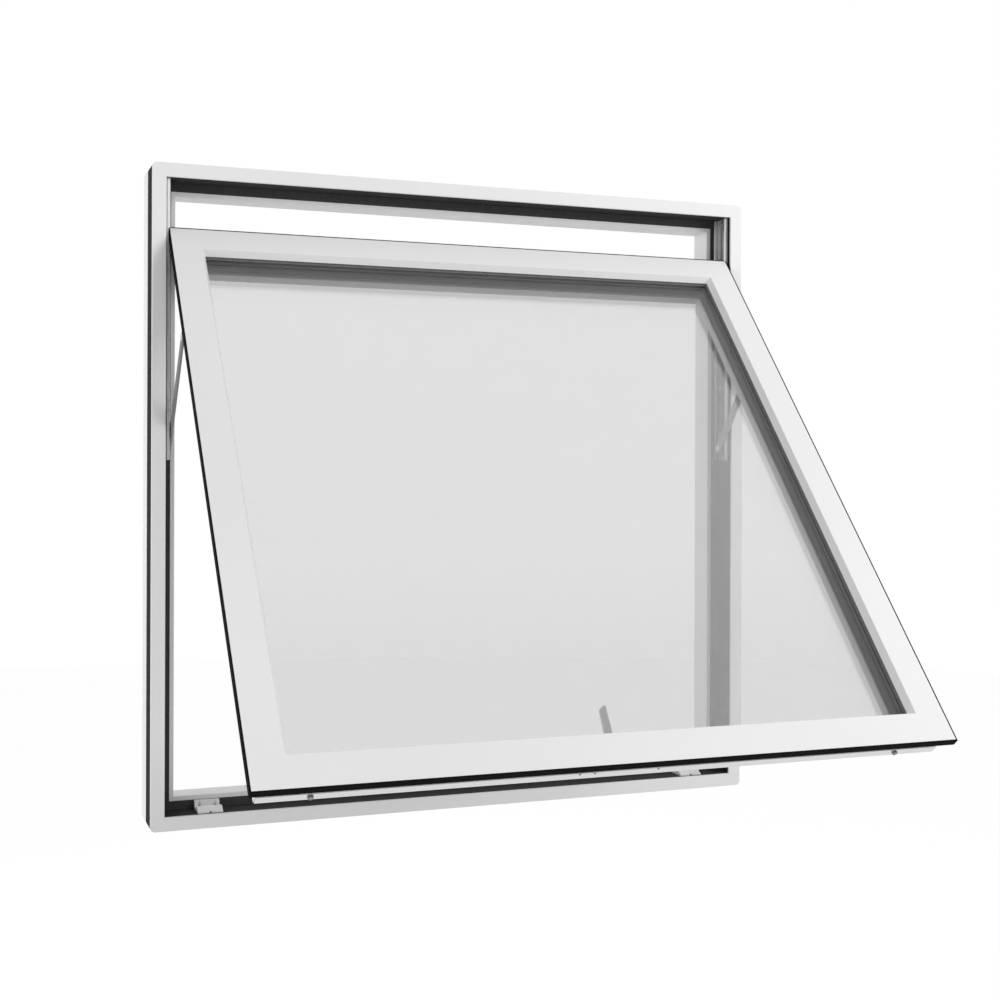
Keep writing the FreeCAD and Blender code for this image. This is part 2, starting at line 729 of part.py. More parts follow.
def handle():
    """The lever handle on the room side of the bottom rail, turned up as it is when unlocked."""
    height = "(rebate_floor + sightline) / 2"
    base = new_body("handle_base", at("sash_pose", "handle_offset", "sash_depth", height))
    plate = sketch_on(base, "XZ_Plane")
    half_length = "handle_base_length / 2"
    half_width = "handle_base_width / 2"
    rectangle(plate, f"-{half_length}", f"-{half_width}", half_length, half_width)
    slab = add_pad(base, plate, "handle_base_thickness", backwards=True)
    ends = round_edges(base, slab, "handle_base_corner", lambda edge: edge.BoundBox.YLength > 0.01)
    front = number("handle_base_thickness")
    round_edges(base, ends, "handle_base_edge", lambda edge: abs(edge.BoundBox.YMin - front) < 0.01)
    neck = sketch_on(base, "XZ_Plane", "-handle_base_thickness")
    circle(neck, "0", "0", "handle_neck_radius")
    add_pad(base, neck, "handle_neck_length", backwards=True)

    lever_front = "sash_depth + handle_base_thickness + handle_neck_length"
    lean = "rotation(vector(0; 1; 0); lever_angle)"
    spot = f"placement(vector(handle_offset; {lever_front}; {height}); {lean})"
    lever = new_body("handle_lever", f"sash_pose.Placement * {spot}")
    grip = sketch_on(lever, "XZ_Plane")
    slanted_lever(grip)
    pad = add_pad(lever, grip, "lever_thickness", backwards=True)
    shoulder = number("lever_reach - lever_tip_slant") - 0.01
    tip = round_edges(lever, pad, "lever_tip_radius",
                      lambda edge: edge.BoundBox.YLength > 0.01 and edge.BoundBox.ZMin > shoulder)
    round_edges(lever, tip, "lever_edge_radius", lambda edge: abs(edge.BoundBox.YLength) < 0.01)


def build():
    add_pose("frame_pose", "placement(vector(0; -frame_depth / 2; 0); rotation(vector(0; 0; 1); 0))")
    # The stay turns the sash by the opening angle and lets the top pivot down its track.
    base_y = ("pivot_depth - frame_depth / 2 - pivot_in_sash * cos(opening_angle)"
              " - pivot_above_sill * sin(opening_angle)")
    base_z = ("open_pivot_height + pivot_in_sash * sin(opening_angle)"
              " - pivot_above_sill * cos(opening_angle)")
    add_pose("sash_pose", f"placement(vector(0; {base_y}; {base_z});"
                          " rotation(vector(1; 0; 0); -opening_angle))")
    add_side_poses("frame_pose", FRAME_SIDES, "frame_width", "frame_height")
    add_side_poses("sash_pose", SASH_SIDES, "sash_width", "sash_height")
    doc.recompute()
    for make in (frame_faces, frame_cores, frame_tubes, frame_seal, sash_outers, sash_inners,
                 glazing_beads, sash_rings, glass_panes, stays, keepers, lock_rail, handle):
        make()
    doc.recompute()


def check_and_export():
    """Stop on any failed object or empty cut, then write one file for each piece."""
    for item in doc.Objects:
        if "Invalid" in item.State or "Error" in item.State:
            raise RuntimeError(f"{item.Name} failed: {item.State}")
        if item.TypeId == "PartDesign::Pocket" and item.Shape.Volume >= item.BaseFeature.Shape.Volume:
            raise RuntimeError(f"{item.Name} cuts nothing")
    pieces = [item for item in doc.Objects if item.TypeId in ("PartDesign::Body", "Part::Box")]
    for piece in pieces:
        if piece.Shape.isNull() or not piece.Shape.isValid():
            raise RuntimeError(f"{piece.Label} has no sound shape")
        if len(piece.Shape.Solids) != 1:
            raise RuntimeError(f"{piece.Label} has {len(piece.Shape.Solids)} solids")
    os.makedirs("parts", exist_ok=True)
    for piece in pieces:
        piece.Shape.exportStep(f"parts/{piece.Label}.step")
    print(len(pieces), "pieces")


build()
check_and_export()
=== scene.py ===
"""Looks of a top hung awning window: finishes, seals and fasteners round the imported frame, in metres.

X runs along the sill, Y from the outside into the room and Z up. The sash stands open.
"""
import math

import bmesh
import bpy
from mathutils import Matrix, Vector


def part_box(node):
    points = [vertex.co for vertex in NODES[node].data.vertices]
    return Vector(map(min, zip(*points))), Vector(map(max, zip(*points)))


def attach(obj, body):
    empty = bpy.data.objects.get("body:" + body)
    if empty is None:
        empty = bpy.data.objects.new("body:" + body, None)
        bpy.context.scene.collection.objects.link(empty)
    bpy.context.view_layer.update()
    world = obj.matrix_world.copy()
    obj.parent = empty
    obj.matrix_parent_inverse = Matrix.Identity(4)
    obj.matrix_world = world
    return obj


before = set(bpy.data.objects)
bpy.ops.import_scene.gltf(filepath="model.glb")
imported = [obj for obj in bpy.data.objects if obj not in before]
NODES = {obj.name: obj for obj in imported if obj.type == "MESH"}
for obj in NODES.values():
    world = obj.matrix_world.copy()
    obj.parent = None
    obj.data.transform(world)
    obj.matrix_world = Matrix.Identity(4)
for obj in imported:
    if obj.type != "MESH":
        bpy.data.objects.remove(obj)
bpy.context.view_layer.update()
MM = 0.001
FULL_TURN = 2 * math.pi
ALONG_SILL = Vector((1, 0, 0))
INTO_ROOM = Vector((0, 1, 0))
UPRIGHT = Vector((0, 0, 1))

# Places that the solids share with this script
FRAME_SIZE = 1000 * MM
HALF_FRAME = FRAME_SIZE / 2
FRAME_DEPTH = 94.5 * MM
SASH_WIDTH = 945.6 * MM
SASH_HEIGHT = 952.6 * MM
SIGHTLINE = 49 * MM
GLASS_EDGE = 37 * MM
OUTER_GLASS_FACE = 16 * MM
INNER_GLASS_FACE = 48 * MM

FRAME_SIDES = ("sill", "right_jamb", "head", "left_jamb")
SASH_SIDES = ("bottom_rail", "right_stile", "top_rail", "left_stile")
# The sides that have a stay and a keeper, with the sign of X there
SIDES = {"left": -1, "right": 1}


def sash_axes():
    """The open sash as a matrix: X along it, Y into the room through the glass, Z up its face.

    Its origin is the middle of the sash's lower front edge.
    """
    corners = [v.co.copy() for v in NODES["glass_outer_pane"].data.vertices]
    front_low = min(corners, key=lambda p: p.y)
    front_top = max(corners, key=lambda p: p.z)
    back_low = min(corners, key=lambda p: p.z)
    up = front_top - front_low
    up.x = 0
    up.normalize()
    depth = back_low - front_low
    depth.x = 0
    depth.normalize()
    origin = front_low - up * GLASS_EDGE - depth * OUTER_GLASS_FACE
    origin.x = 0
    return Matrix.LocRotScale(origin, Matrix((ALONG_SILL, depth, up)).transposed(), None)


SASH = sash_axes()
SASH_DEPTH_AXIS = SASH.to_3x3() @ INTO_ROOM
SASH_UP_AXIS = SASH.to_3x3() @ UPRIGHT


# Node tools

# Where the Mix node keeps its two colours and the mixed one
MIX_COLOURS = slice(6, 8)
MIX_RESULT = 2
# Limits between which most of a noise lies
NOISE_LOW = 0.3
NOISE_HIGH = 0.7


class Material:
    """A node material with its Principled shader at hand."""

    def __init__(self, name):
        self.block = bpy.data.materials.new(name)
        self.block.use_nodes = True
        self.tree = self.block.node_tree
        self.shader = self.tree.nodes["Principled BSDF"]
        self.output = self.tree.nodes["Material Output"]
        coordinates = self.tree.nodes.new("ShaderNodeTexCoord")
        self.place = coordinates.outputs["Object"]

    def node(self, kind, **values):
        made = self.tree.nodes.new(kind)
        for key, value in values.items():
            setattr(made, key, value)
        return made

    def link(self, source, target):
        self.tree.links.new(source, target)

    def set(self, **values):
        for key, value in values.items():
            self.shader.inputs[key.replace("_", " ")].default_value = value

    def across(self, axis):
        """The distance of the place along an axis."""
        dot = self.node("ShaderNodeVectorMath", operation="DOT_PRODUCT")
        self.link(self.place, dot.inputs[0])
        dot.inputs[1].default_value = axis
        return dot.outputs["Value"]

    def stretched(self, along, share):
        """The place with its part along a direction shrunk to a share, for streaks that way."""
        shrink = self.node("ShaderNodeMath", operation="MULTIPLY")
        self.link(self.across(along), shrink.inputs[0])
        shrink.inputs[1].default_value = share - 1
        back = self.node("ShaderNodeVectorMath", operation="SCALE")
        back.inputs[0].default_value = along
        self.link(shrink.outputs[0], back.inputs["Scale"])
        total = self.node("ShaderNodeVectorMath", operation="ADD")
        self.link(self.place, total.inputs[0])
        self.link(back.outputs[0], total.inputs[1])
        return total.outputs[0]

    def noise(self, scale, detail=2, place=None):
        made = self.node("ShaderNodeTexNoise")
        made.inputs["Scale"].default_value = scale
        made.inputs["Detail"].default_value = detail
        self.link(place or self.place, made.inputs["Vector"])
        return made.outputs["Fac"]

    def line_noise(self, scale, axis):
        """Noise that changes along one axis only, for lines across it."""
        made = self.node("ShaderNodeTexNoise", noise_dimensions="1D")
        made.inputs["Scale"].default_value = scale
        self.link(self.across(axis), made.inputs["W"])
        return made.outputs["Fac"]

    def spread(self, source, start, stop, low, high):
        """A value that goes from low to high while the source goes from start to stop."""
        made = self.node("ShaderNodeMapRange")
        limits = {"From Min": start, "From Max": stop, "To Min": low, "To Max": high}
        for socket, value in limits.items():
            made.inputs[socket].default_value = value
        self.link(source, made.inputs["Value"])
        return made.outputs["Result"]

    def ramp(self, noise, low, high):
        """A noise spread from a low to a high value."""
        return self.spread(noise, NOISE_LOW, NOISE_HIGH, low, high)

    def graded(self, axis, start, stop, low=0.0, high=1.0):
        """A value that goes from low to high between two distances along an axis."""
        return self.spread(self.across(axis), start, stop, low, high)

    def blend(self, share, low, high):
        """A base colour between two greys by a share from 0 to 1."""
        made = self.node("ShaderNodeMix", data_type="RGBA")
        for socket, grey in zip(made.inputs[MIX_COLOURS], (low, high)):
            socket.default_value = (grey, grey, grey, 1)
        self.link(share, made.inputs["Factor"])
        self.link(made.outputs[MIX_RESULT], self.shader.inputs["Base Color"])

    def colour(self, noise, low, high):
        """A base colour between two greys by a noise."""
        self.blend(self.ramp(noise, 0, 1), low, high)

    def darken(self, share):
        """Multiplies the base colour by a share that changes over the surface."""
        made = self.node("ShaderNodeMix", data_type="RGBA", blend_type="MULTIPLY")
        made.inputs["Factor"].default_value = 1.0
        base = self.shader.inputs["Base Color"]
        for source, socket in zip((base.links[0].from_socket, share), made.inputs[MIX_COLOURS]):
            self.link(source, socket)
        self.link(made.outputs[MIX_RESULT], base)

    def roughness(self, noise, low, high):
        self.link(self.ramp(noise, low, high), self.shader.inputs["Roughness"])

    def bump(self, noise, height, strength):
        """Adds a bump to those that the material has."""
        made = self.node("ShaderNodeBump")
        made.inputs["Strength"].default_value = strength
        made.inputs["Distance"].default_value = height
        self.link(noise, made.inputs["Height"])
        normal = self.shader.inputs["Normal"]
        if normal.is_linked:
            self.link(normal.links[0].from_socket, made.inputs["Normal"])
        self.link(made.outputs["Normal"], normal)

    def mix_in(self, other, share):
        """Puts another shader in place of the Principled one by a share from 0 to 1."""
        mixed = self.node("ShaderNodeMixShader")
        self.link(share, mixed.inputs["Fac"])
        self.link(self.shader.outputs["BSDF"], mixed.inputs[1])
        self.link(other, mixed.inputs[2])
        self.link(mixed.outputs["Shader"], self.output.inputs["Surface"])


# Finishes

# Heights up to which painted shade, standing in for the open sash's shadow, lies full on the frame's
# outside, and where it ends
SILL_SHADE_FULL = 20 * MM
SILL_SHADE_END = 150 * MM
# Share of the colour left where that painted shade is full
SILL_SHADE_SHARE = 0.87
# Heights between which the painted shade on the tracks, where the open sash shades them, fades out
TRACK_SHADE_FULL = 840 * MM
TRACK_SHADE_END = 930 * MM
# Distances up the sash between which the painted shade on the glass fades out
GLASS_SHADE_FULL = 180 * MM
GLASS_SHADE_END = 340 * MM
# Depths in the sash between which the painted light on the spacer's front fades to its own dark
SPACER_LIGHT_FULL = 25.3 * MM
SPACER_LIGHT_END = 29.7 * MM
# Share to which places shrink along brushed metal, which draws its noise out into streaks
STREAK_SHARE = 0.02


def powder_coat(name):
    """Satin white powder coat: faint orange peel and slow changes of tone."""
    made = Material(name)
    made.colour(made.noise(scale=2.5, detail=3), low=0.79, high=0.83)
    made.roughness(made.noise(scale=60, detail=3), low=0.36, high=0.46)
    made.bump(made.noise(scale=900, detail=1), height=0.02 * MM, strength=0.5)
    made.set(IOR=1.45)
    return made


def sill_shaded_coat():
    """The powder coat of the frame's outside, with painted shade on the sill and just above it, where the
    open sash shades it.
    """
    made = powder_coat("sill_shaded_powder_coat")
    made.darken(made.graded(UPRIGHT, SILL_SHADE_FULL, SILL_SHADE_END, low=SILL_SHADE_SHARE))
    return made


def polyamide(name, depth_axis, low, high):
    """Black glass-filled plastic of the thermal breaks, with the fine lines of its extrusion."""
    made = Material(name)
    made.colour(made.noise(scale=300, detail=4), low, high)
    made.roughness(made.noise(scale=120, detail=3), low=0.55, high=0.68)
    made.set(Specular_IOR_Level=0.02)
    made.bump(made.line_noise(scale=700, axis=depth_axis), height=0.1 * MM, strength=0.5)
    made.bump(made.noise(scale=2500, detail=2), height=0.04 * MM, strength=0.4)
    return made


def rubber(name, low, high):
    """Extruded rubber: dull, with a fine grain."""
    made = Material(name)
    made.colour(made.noise(scale=180, detail=4), low, high)
    made.roughness(made.noise(scale=90, detail=3), low=0.62, high=0.78)
    made.set(Specular_IOR_Level=0.02)
    made.bump(made.noise(scale=1800, detail=3), height=0.05 * MM, strength=0.5)
    return made


def spacer_bar():
    """Dark warm-edge spacer with fine lines along it, with painted light on its front towards the outer
    pane, where it lies in shade.
    """
    made = Material("dark_spacer")
    front = SASH.translation.dot(SASH_DEPTH_AXIS)
    darker = made.graded(SASH_DEPTH_AXIS, front + SPACER_LIGHT_FULL, front + SPACER_LIGHT_END)
    # Painted light: pale at the spacer's shaded front, dark further in
    made.blend(darker, low=0.26, high=0.012)
    made.roughness(made.noise(scale=200, detail=3), low=0.45, high=0.6)
    made.bump(made.line_noise(scale=600, axis=SASH_DEPTH_AXIS), height=0.1 * MM, strength=0.5)
    return made


def brushed_metal(name, along, low, high, metallic=1.0):
    """Bare metal brushed one way."""
    made = Material(name)
    streaks = made.noise(scale=2200, detail=3, place=made.stretched(along, STREAK_SHARE))
    made.colour(streaks, low, high)
    made.roughness(streaks, low=0.24, high=0.4)
    made.bump(streaks, height=0.03 * MM, strength=0.4)
    made.set(Metallic=metallic)
    return made


def shaded_steel(name, low, high, metallic, shade):
    """Steel of the tracks and their hems, with painted shade below the sash's top, where the open sash
    shades them.
    """
    made = brushed_metal(name, UPRIGHT, low, high, metallic)
    made.darken(made.graded(UPRIGHT, TRACK_SHADE_FULL, TRACK_SHADE_END, low=shade))
    return made


def plated_zinc():
    """Die-cast zinc with a satin plating and a slight mottle."""
    made = Material("plated_zinc")
    made.colour(made.noise(scale=400, detail=4), low=0.74, high=0.84)
    made.roughness(made.noise(scale=250, detail=3), low=0.34, high=0.5)
    made.bump(made.noise(scale=900, detail=3), height=0.08 * MM, strength=0.5)
    made.set(Metallic=0.3)
    return made


def plated_fastener():
    """Turned and plated steel of the stays' screws and rivets, with a faint cloudiness."""
    made = Material("plated_fastener")
    made.colour(made.noise(scale=900, detail=3), low=0.5, high=0.66)
    made.roughness(made.noise(scale=500, detail=3), low=0.22, high=0.38)
    made.bump(made.noise(scale=2600, detail=2), height=0.02 * MM, strength=0.4)
    made.set(Metallic=1.0)
    return made


def dark_steel():
    """Blackened steel of the cams, their guide screws and the keepers' screws."""
    made = Material("blackened_steel")
    made.colour(made.noise(scale=1200, detail=3), low=0.18, high=0.26)
    made.roughness(made.noise(scale=600, detail=3), low=0.3, high=0.45)
    made.bump(made.noise(scale=2200, detail=2), height=0.02 * MM, strength=0.4)
    made.set(Metallic=0.8)
    return made


def handle_coat():
    """Satin grey lacquer with a fine metallic grain."""
    made = Material("grey_handle_lacquer")
    made.colour(made.noise(scale=1600, detail=3), low=0.29, high=0.37)
    made.roughness(made.noise(scale=300, detail=3), low=0.36, high=0.48)
    made.bump(made.noise(scale=1300, detail=2), height=0.03 * MM, strength=0.4)
    made.set(Metallic=0.3)
    return made


def glass(name, shaded_foot_tint, tint, index, shade):
    """Clear pane with a faint roller wave, and painted shade that darkens it a little towards its foot, in
    place of a darker reflection there.

    Rays from lamps pass it, dimmed to the shade.
    """
    made = Material(name)
    foot = SASH.translation.dot(SASH_UP_AXIS)
    unshaded = made.graded(SASH_UP_AXIS, foot + GLASS_SHADE_FULL, foot + GLASS_SHADE_END)
    made.blend(unshaded, shaded_foot_tint, tint)
    made.set(Roughness=0.0, IOR=index, Transmission_Weight=1.0)
    made.bump(made.noise(scale=6, detail=1), height=0.2 * MM, strength=0.05)
    clear = made.node("ShaderNodeBsdfTransparent")
    clear.inputs["Color"].default_value = (shade, shade, shade, 1)
    path = made.node("ShaderNodeLightPath")
    made.mix_in(clear.outputs["BSDF"], path.outputs["Is Shadow Ray"])
    return made


def make_finishes():
    """The finishes by name."""
    arm_low, arm_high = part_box("stay_left_arm")
    arm_along = Vector((0, arm_low.y - arm_high.y, arm_high.z - arm_low.z)).normalized()
    made = {
        "coat": powder_coat("white_powder_coat"),
        # The frame's faces carry painted shade near the sill
        "face_coat": sill_shaded_coat(),
        "jamb_core": polyamide("jamb_polyamide", INTO_ROOM, low=0.01, high=0.016),
        # The sill's and head's polyamide is a lighter copy of the jambs': painted light in their shaded
        # rebates
        "level_core": polyamide("painted_light_polyamide", INTO_ROOM, low=0.04, high=0.055),
        "sash_core": polyamide("sash_polyamide", SASH_DEPTH_AXIS, low=0.018, high=0.028),
        "rubber": rubber("black_rubber", low=0.004, high=0.009),
        # The frame's seal is a lighter copy of the black rubber: painted light in the shaded rebates
        "frame_rubber": rubber("painted_light_black_rubber", low=0.055, high=0.07),
        "gasket": rubber("grey_gasket", low=0.15, high=0.19),
        "pale_gasket": rubber("pale_gasket", low=0.27, high=0.33),
        "spacer": spacer_bar(),
        # Both panes take a darker tint at their foot: painted shade for the darker reflection low in the
        # sash
        "outer_glass": glass("outer_glass", shaded_foot_tint=0.99, tint=1.0, index=1.5, shade=0.87),
        "inner_glass": glass("inner_glass", shaded_foot_tint=0.635, tint=0.67, index=2.35, shade=0.93),
        # Painted shade darkens the track below the sash's top
        "track_steel": shaded_steel("track_steel", low=0.38, high=0.48, metallic=0.4, shade=0.25),
        # The hems are a lighter, fully metallic copy of the track's steel: a painted highlight along the
        # flanges' rims, with painted shade low down
        "hem_steel": shaded_steel("hem_steel", low=0.7, high=0.8, metallic=1.0, shade=0.8),
        # The arms' steel is a darker copy of the stay steel: painted shade, as their seen faces lie in the
        # sash's shade
        "arm_steel": brushed_metal("arm_steel", arm_along, low=0.15, high=0.22, metallic=0.5),
        "bar_steel": brushed_metal("bar_steel", SASH_UP_AXIS, low=0.52, high=0.64),
        "rail_aluminium": brushed_metal("rail_aluminium", ALONG_SILL, low=0.62, high=0.72),
        "zinc": plated_zinc(),
        "fastener": plated_fastener(),
        "dark_steel": dark_steel(),
        "handle": handle_coat(),
    }
    return {name: finish.block for name, finish in made.items()}


def dress(material, *names):
    """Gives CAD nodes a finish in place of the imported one."""
    for name in names:
        slots = NODES[name].data.materials
        slots.clear()
        slots.append(material)


def dress_frame_and_sash(finishes):
    for side in FRAME_SIDES:
        dress(finishes["face_coat"], f"frame_{side}_face")
        dress(finishes["coat"], f"frame_{side}_tube")
    dress(finishes["level_core"], "frame_sill_core", "frame_head_core")
    dress(finishes["jamb_core"], "frame_left_jamb_core", "frame_right_jamb_core")
    for side in SASH_SIDES:
        dress(finishes["coat"], f"sash_{side}_outer", f"sash_{side}_inner", f"glazing_bead_{side}")
    dress(finishes["frame_rubber"], "frame_seal")
    dress(finishes["rubber"], "sash_edge_seal")
    dress(finishes["sash_core"], "sash_break")
    dress(finishes["gasket"], "glazing_gasket_outer")
    dress(finishes["pale_gasket"], "glazing_gasket_inner")
    dress(finishes["spacer"], "glass_spacer")
    dress(finishes["outer_glass"], "glass_outer_pane")
    dress(finishes["inner_glass"], "glass_inner_pane")


def dress_hardware(finishes):
    for side in SIDES:
        dress(finishes["track_steel"], f"stay_{side}_track")
        dress(finishes["zinc"], f"stay_{side}_shoe", f"keeper_{side}")
        dress(finishes["arm_steel"], f"stay_{side}_arm")
        dress(finishes["bar_steel"], f"stay_{side}_sash_bar")
    dress(finishes["rail_aluminium"], "lock_rail")
    dress(finishes["handle"], "handle_base", "handle_lever")


# Mesh tools

TURNED_CORNERS = 48
TURNED_QUARTER = TURNED_CORNERS // 4
SHARP_ANGLE = math.radians(35)
# Shape of a cross recess as shares of its reach: half of a slot's width, the floor's reach and the depth
CROSS_HALF_SLOT = 0.24
CROSS_FLOOR = 0.8
CROSS_DEPTH = 0.7
# Corners of a turned rim that stand over the three corners of a quarter of the recess
CROSS_RIM = (-1, 1, TURNED_QUARTER // 2)


def in_metres(pairs):
    """Pairs of millimetres as metres."""
    return [(first * MM, second * MM) for first, second in pairs]


def add_loop(shape, place, points, height):
    """Corners over flat points of a place, all at one height."""
    return [shape.verts.new(place @ Vector((x, y, height))) for x, y in points]


def add_ring(shape, place, radius, height):
    points = []
    for corner in range(TURNED_CORNERS):
        turn = FULL_TURN * corner / TURNED_CORNERS
        points.append((radius * math.cos(turn), radius * math.sin(turn)))
    return add_loop(shape, place, points, height)


def join_loops(shape, low, high):
    count = len(low)
    for index in range(count):
        following = (index + 1) % count
        shape.faces.new((low[index], low[following], high[following], high[index]))


def add_turned(shape, place, profile, cross=0.0):
    """Turns a profile of radius and height pairs about the place's Z axis and closes both ends.

    A cross is the reach of a screwdriver recess in the top.
    """
    rings = [add_ring(shape, place, radius, height) for radius, height in profile]
    for low, high in zip(rings, rings[1:]):
        join_loops(shape, low, high)
    shape.faces.new(reversed(rings[0]))
    if cross:
        add_cross(shape, place, rings[-1], profile[-1][1], cross)
    else:
        shape.faces.new(rings[-1])


def add_cross(shape, place, rim, height, reach):
    """Closes a rim with a flat top that has a cross recess in it."""
    half = reach * CROSS_HALF_SLOT
    corners = []
    starts = []
    for turn in range(4):
        spin = Matrix.Rotation(FULL_TURN * turn / 4, 2)
        corners.extend(spin @ Vector(corner) for corner in ((reach, -half), (reach, half), (half, half)))
        starts.extend(TURNED_QUARTER * turn + step for step in CROSS_RIM)
    inner = [(x * CROSS_FLOOR, y * CROSS_FLOOR) for x, y in corners]
    mouth = add_loop(shape, place, corners, height)
    floor = add_loop(shape, place, inner, height - reach * CROSS_DEPTH)
    stops = [*starts[1:], starts[0] + TURNED_CORNERS]
    for index, (start, stop) in enumerate(zip(starts, stops)):
        arc = [rim[step % TURNED_CORNERS] for step in range(start, stop + 1)]
        shape.faces.new([mouth[index], *arc, mouth[(index + 1) % len(mouth)]])
    join_loops(shape, mouth, floor)
    shape.faces.new(floor)


def add_sweep(shape, place, width, height, profile):
    """Runs a closed profile of inset and depth pairs round a rectangle, mitred at its corners."""
    loops = []
    for inset, depth in profile:
        side = width / 2 - inset
        corners = ((-side, inset), (side, inset), (side, height - inset), (-side, height - inset))
        loops.append([shape.verts.new(place @ Vector((x, depth, z))) for x, z in corners])
    for low, high in zip(loops, loops[1:] + loops[:1]):
        join_loops(shape, low, high)


def add_bar(shape, profile, low, high):
    """Runs a closed profile of X and Y pairs upright between two heights and closes its ends."""
    foot = [shape.verts.new((x, y, low)) for x, y in profile]
    head = [shape.verts.new((x, y, high)) for x, y in profile]
    join_loops(shape, foot, head)
    shape.faces.new(foot)
    shape.faces.new(head)


def make_piece(name, shape, material):
    """Turns a built shape into a piece that rides with the window."""
    bmesh.ops.recalc_face_normals(shape, faces=shape.faces)
    mesh = bpy.data.meshes.new(name)
    shape.to_mesh(mesh)
    shape.free()
    mesh.materials.append(material)
    mesh.polygons.foreach_set("use_smooth", [True] * len(mesh.polygons))
    mesh.set_sharp_from_angle(angle=SHARP_ANGLE)
    piece = bpy.data.objects.new(name, mesh)
    bpy.context.scene.collection.objects.link(piece)
    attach(piece, "root")


def facing(point, direction):
    """A place at a point whose Z axis looks along a direction."""
    turn = Vector(direction).to_track_quat("Z", "Y").to_matrix().to_4x4()
    return Matrix.Translation(point) @ turn


def from_side(sign, inset, depth, rise):
    """A point at an inset from the left or right side of the frame."""
    return Vector((sign * (HALF_FRAME - inset), depth, rise))


def inward(sign):
    """The direction from the left or right side to the middle of the window."""
    return Vector((-sign, 0, 0))


# Heads of screws and rivets

HEAD_SINK = 0.3 * MM
# Heights of a countersunk head's rim and top, and shares of its radius in the top and the cross
FLAT_RIM = 0.12 * MM
FLAT_RISE = 0.3 * MM
FLAT_TOP = 0.9
FLAT_CROSS = 0.55
# Share of a domed head's rise in its upright foot, and steps up the dome as shares of a quarter turn
DOME_FOOT = 0.25
DOME_STEPS = (0.35, 0.6, 0.8)


def flat_screw(shape, place, radius):
    """A countersunk head that stands a hair proud of its plate."""
    profile = [(radius, -HEAD_SINK), (radius, FLAT_RIM), (FLAT_TOP * radius, FLAT_RISE)]
    add_turned(shape, place, profile, FLAT_CROSS * radius)


def round_head(shape, place, radius, rise, cross=0.0):
    """A low domed head with a crisp foot."""
    foot = DOME_FOOT * rise
    profile = [(radius, -HEAD_SINK), (radius, foot)]
    for step in DOME_STEPS:
        turn = step * FULL_TURN / 4
        profile.append((radius * math.cos(turn), foot + (rise - foot) * math.sin(turn)))
    add_turned(shape, place, profile, cross)


# Stays

# Insets from the frame's side to the plates of a stay
TRACK_FLOOR = 22.7 * MM
FLANGE_RIM = 25.2 * MM
SHOE_FACE = 28.2 * MM
ARM_INSET = 29 * MM
ARM_THICKNESS = 3 * MM
SASH_BAR_FACE = 34.2 * MM

PLATE_END_RADIUS = 8 * MM
RIVET = {"radius": 5.2 * MM, "rise": 1.6 * MM}
FRICTION_SCREW = {"radius": 3.6 * MM, "rise": 1.2 * MM, "cross": 2.0 * MM}
FRICTION_SCREW_RISE = 10 * MM
STAY_SCREW_RADIUS = 3.4 * MM
# Distances of a track's single screws from its ends, and its pairs of screws as shares of its run
TRACK_FOOT_SCREW = 6 * MM
TRACK_HEAD_SCREW = 7 * MM
TRACK_PAIRS = (0.3, 0.55, 0.85)
TRACK_PAIR_SHIFT = 9.5 * MM
# Depth of the bar's screws in the sash and their distances up it
SASH_BAR_DEPTH = 33.25 * MM
SASH_BAR_SCREWS = (717 * MM, 795 * MM, 858 * MM, 918 * MM)


def stay_rivets(finishes):
    """Rivets at both pivots of each arm: the lower one faces inwards, the upper one outwards."""
    shape = bmesh.new()
    for side, sign in SIDES.items():
        low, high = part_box(f"stay_{side}_arm")
        lower = (high.y - PLATE_END_RADIUS, low.z + PLATE_END_RADIUS)
        upper = (low.y + PLATE_END_RADIUS, high.z - PLATE_END_RADIUS)
        lower_spot = from_side(sign, ARM_INSET + ARM_THICKNESS, *lower)
        round_head(shape, facing(lower_spot, inward(sign)), **RIVET)
        round_head(shape, facing(from_side(sign, ARM_INSET, *upper), -inward(sign)), **RIVET)
    make_piece("stay_rivets", shape, finishes["fastener"])


def add_friction_screw(shape, side, sign):
    low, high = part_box(f"stay_{side}_shoe")
    spot = from_side(sign, SHOE_FACE, (low.y + high.y) / 2, low.z + FRICTION_SCREW_RISE)
    round_head(shape, facing(spot, inward(sign)), **FRICTION_SCREW)


def add_track_screws(shape, side, sign):
    low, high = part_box(f"stay_{side}_track")
    middle = (low.y + high.y) / 2
    run = high.z - low.z
    spots = [(0, TRACK_FOOT_SCREW), (0, run - TRACK_HEAD_SCREW)]
    for share in TRACK_PAIRS:
        spots.extend((shift, share * run) for shift in (-TRACK_PAIR_SHIFT, TRACK_PAIR_SHIFT))
    for shift, rise in spots:
        spot = from_side(sign, TRACK_FLOOR, middle + shift, low.z + rise)
        flat_screw(shape, facing(spot, inward(sign)), STAY_SCREW_RADIUS)


def add_bar_screws(shape, sign):
    for rise in SASH_BAR_SCREWS:
        spot = SASH @ from_side(sign, SASH_BAR_FACE, SASH_BAR_DEPTH, rise)
        flat_screw(shape, facing(spot, -inward(sign)), STAY_SCREW_RADIUS)


def stay_screws(finishes):
    """Friction screws of the shoes, and the screws of the tracks and the sash bars."""
    shape = bmesh.new()
    for side, sign in SIDES.items():
        add_friction_screw(shape, side, sign)
        add_track_screws(shape, side, sign)
        add_bar_screws(shape, sign)
    make_piece("stay_screws", shape, finishes["fastener"])


FLANGE_MIDDLE = 0.9 * MM
# Round a rolled hem, in millimetres: steps across the flange and out from its rim
HEM = ((-1.3, -1.4), (-1.3, 2.6), (-1.0, 3.0), (-0.4, 3.2), (0.4, 3.2), (1.0, 3.0), (1.3, 2.6), (1.3, -1.4))


